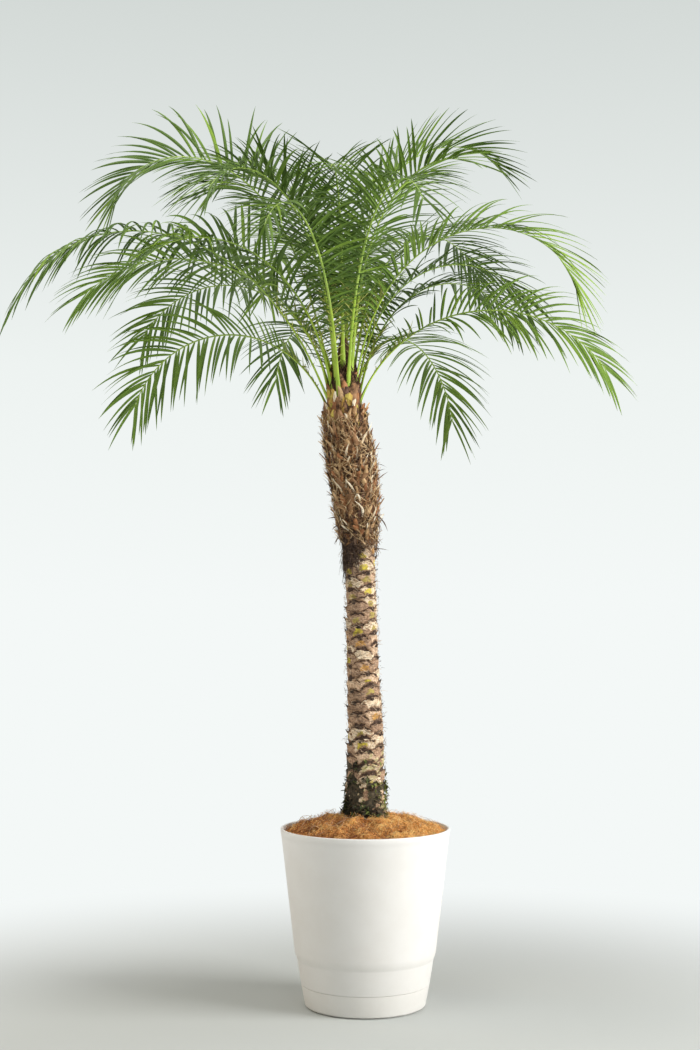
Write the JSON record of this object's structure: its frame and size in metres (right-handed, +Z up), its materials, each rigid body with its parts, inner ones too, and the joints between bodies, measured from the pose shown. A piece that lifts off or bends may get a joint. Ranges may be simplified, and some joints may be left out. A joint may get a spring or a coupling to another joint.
{
  "type": "potted pygmy date palm",
  "caption": "Small indoor palm with a slim leaning trunk and an arching crown of feather fronds, in a round tapered pot with a saucer.",
  "frame": {"origin": "centre of the flat underside of the saucer, on the floor under the trunk", "axes": "+Z up the trunk; -Y towards the side that the picture shows, +X to its right"},
  "size_m": [1.2428, 0.9816, 1.8169],
  "materials": {
    "pot_plastic": "matte warm white",
    "soil": "rough",
    "coir": "loose fibre",
    "bark": "rough, with old leaf bases",
    "frond": "satin leaf"
  },
  "bodies": {
    "root": {"pot": "pot_plastic", "saucer": "pot_plastic", "potting_soil": "soil", "coir_mulch": "coir", "trunk": "bark", "frond_01_stalk": "frond", "frond_01_end": "frond", "frond_02_stalk": "frond", "frond_02_end": "frond", "frond_03_stalk": "frond", "frond_03_end": "frond", "frond_04_stalk": "frond", "frond_04_end": "frond", "frond_05_stalk": "frond", "frond_05_end": "frond", "frond_06_stalk": "frond", "frond_06_end": "frond", "frond_07_stalk": "frond", "frond_07_end": "frond", "frond_08_stalk": "frond", "frond_08_end": "frond", "frond_09_stalk": "frond", "frond_09_end": "frond", "frond_10_stalk": "frond", "frond_10_end": "frond", "frond_11_stalk": "frond", "frond_11_end": "frond", "frond_12_stalk": "frond", "frond_12_end": "frond", "frond_13_stalk": "frond", "frond_13_end": "frond", "frond_14_stalk": "frond", "frond_14_end": "frond", "frond_15_stalk": "frond", "frond_15_end": "frond", "frond_16_stalk": "frond", "frond_16_end": "frond", "frond_17_stalk": "frond", "frond_17_end": "frond", "frond_18_stalk": "frond", "frond_18_end": "frond", "frond_19_stalk": "frond", "frond_19_end": "frond", "frond_20_stalk": "frond", "frond_20_end": "frond", "frond_21_stalk": "frond", "frond_21_end": "frond", "frond_22_stalk": "frond", "frond_22_end": "frond", "frond_23_stalk": "frond", "frond_23_end": "frond", "frond_24_stalk": "frond", "frond_24_end": "frond"}
  },
  "joints": []
}
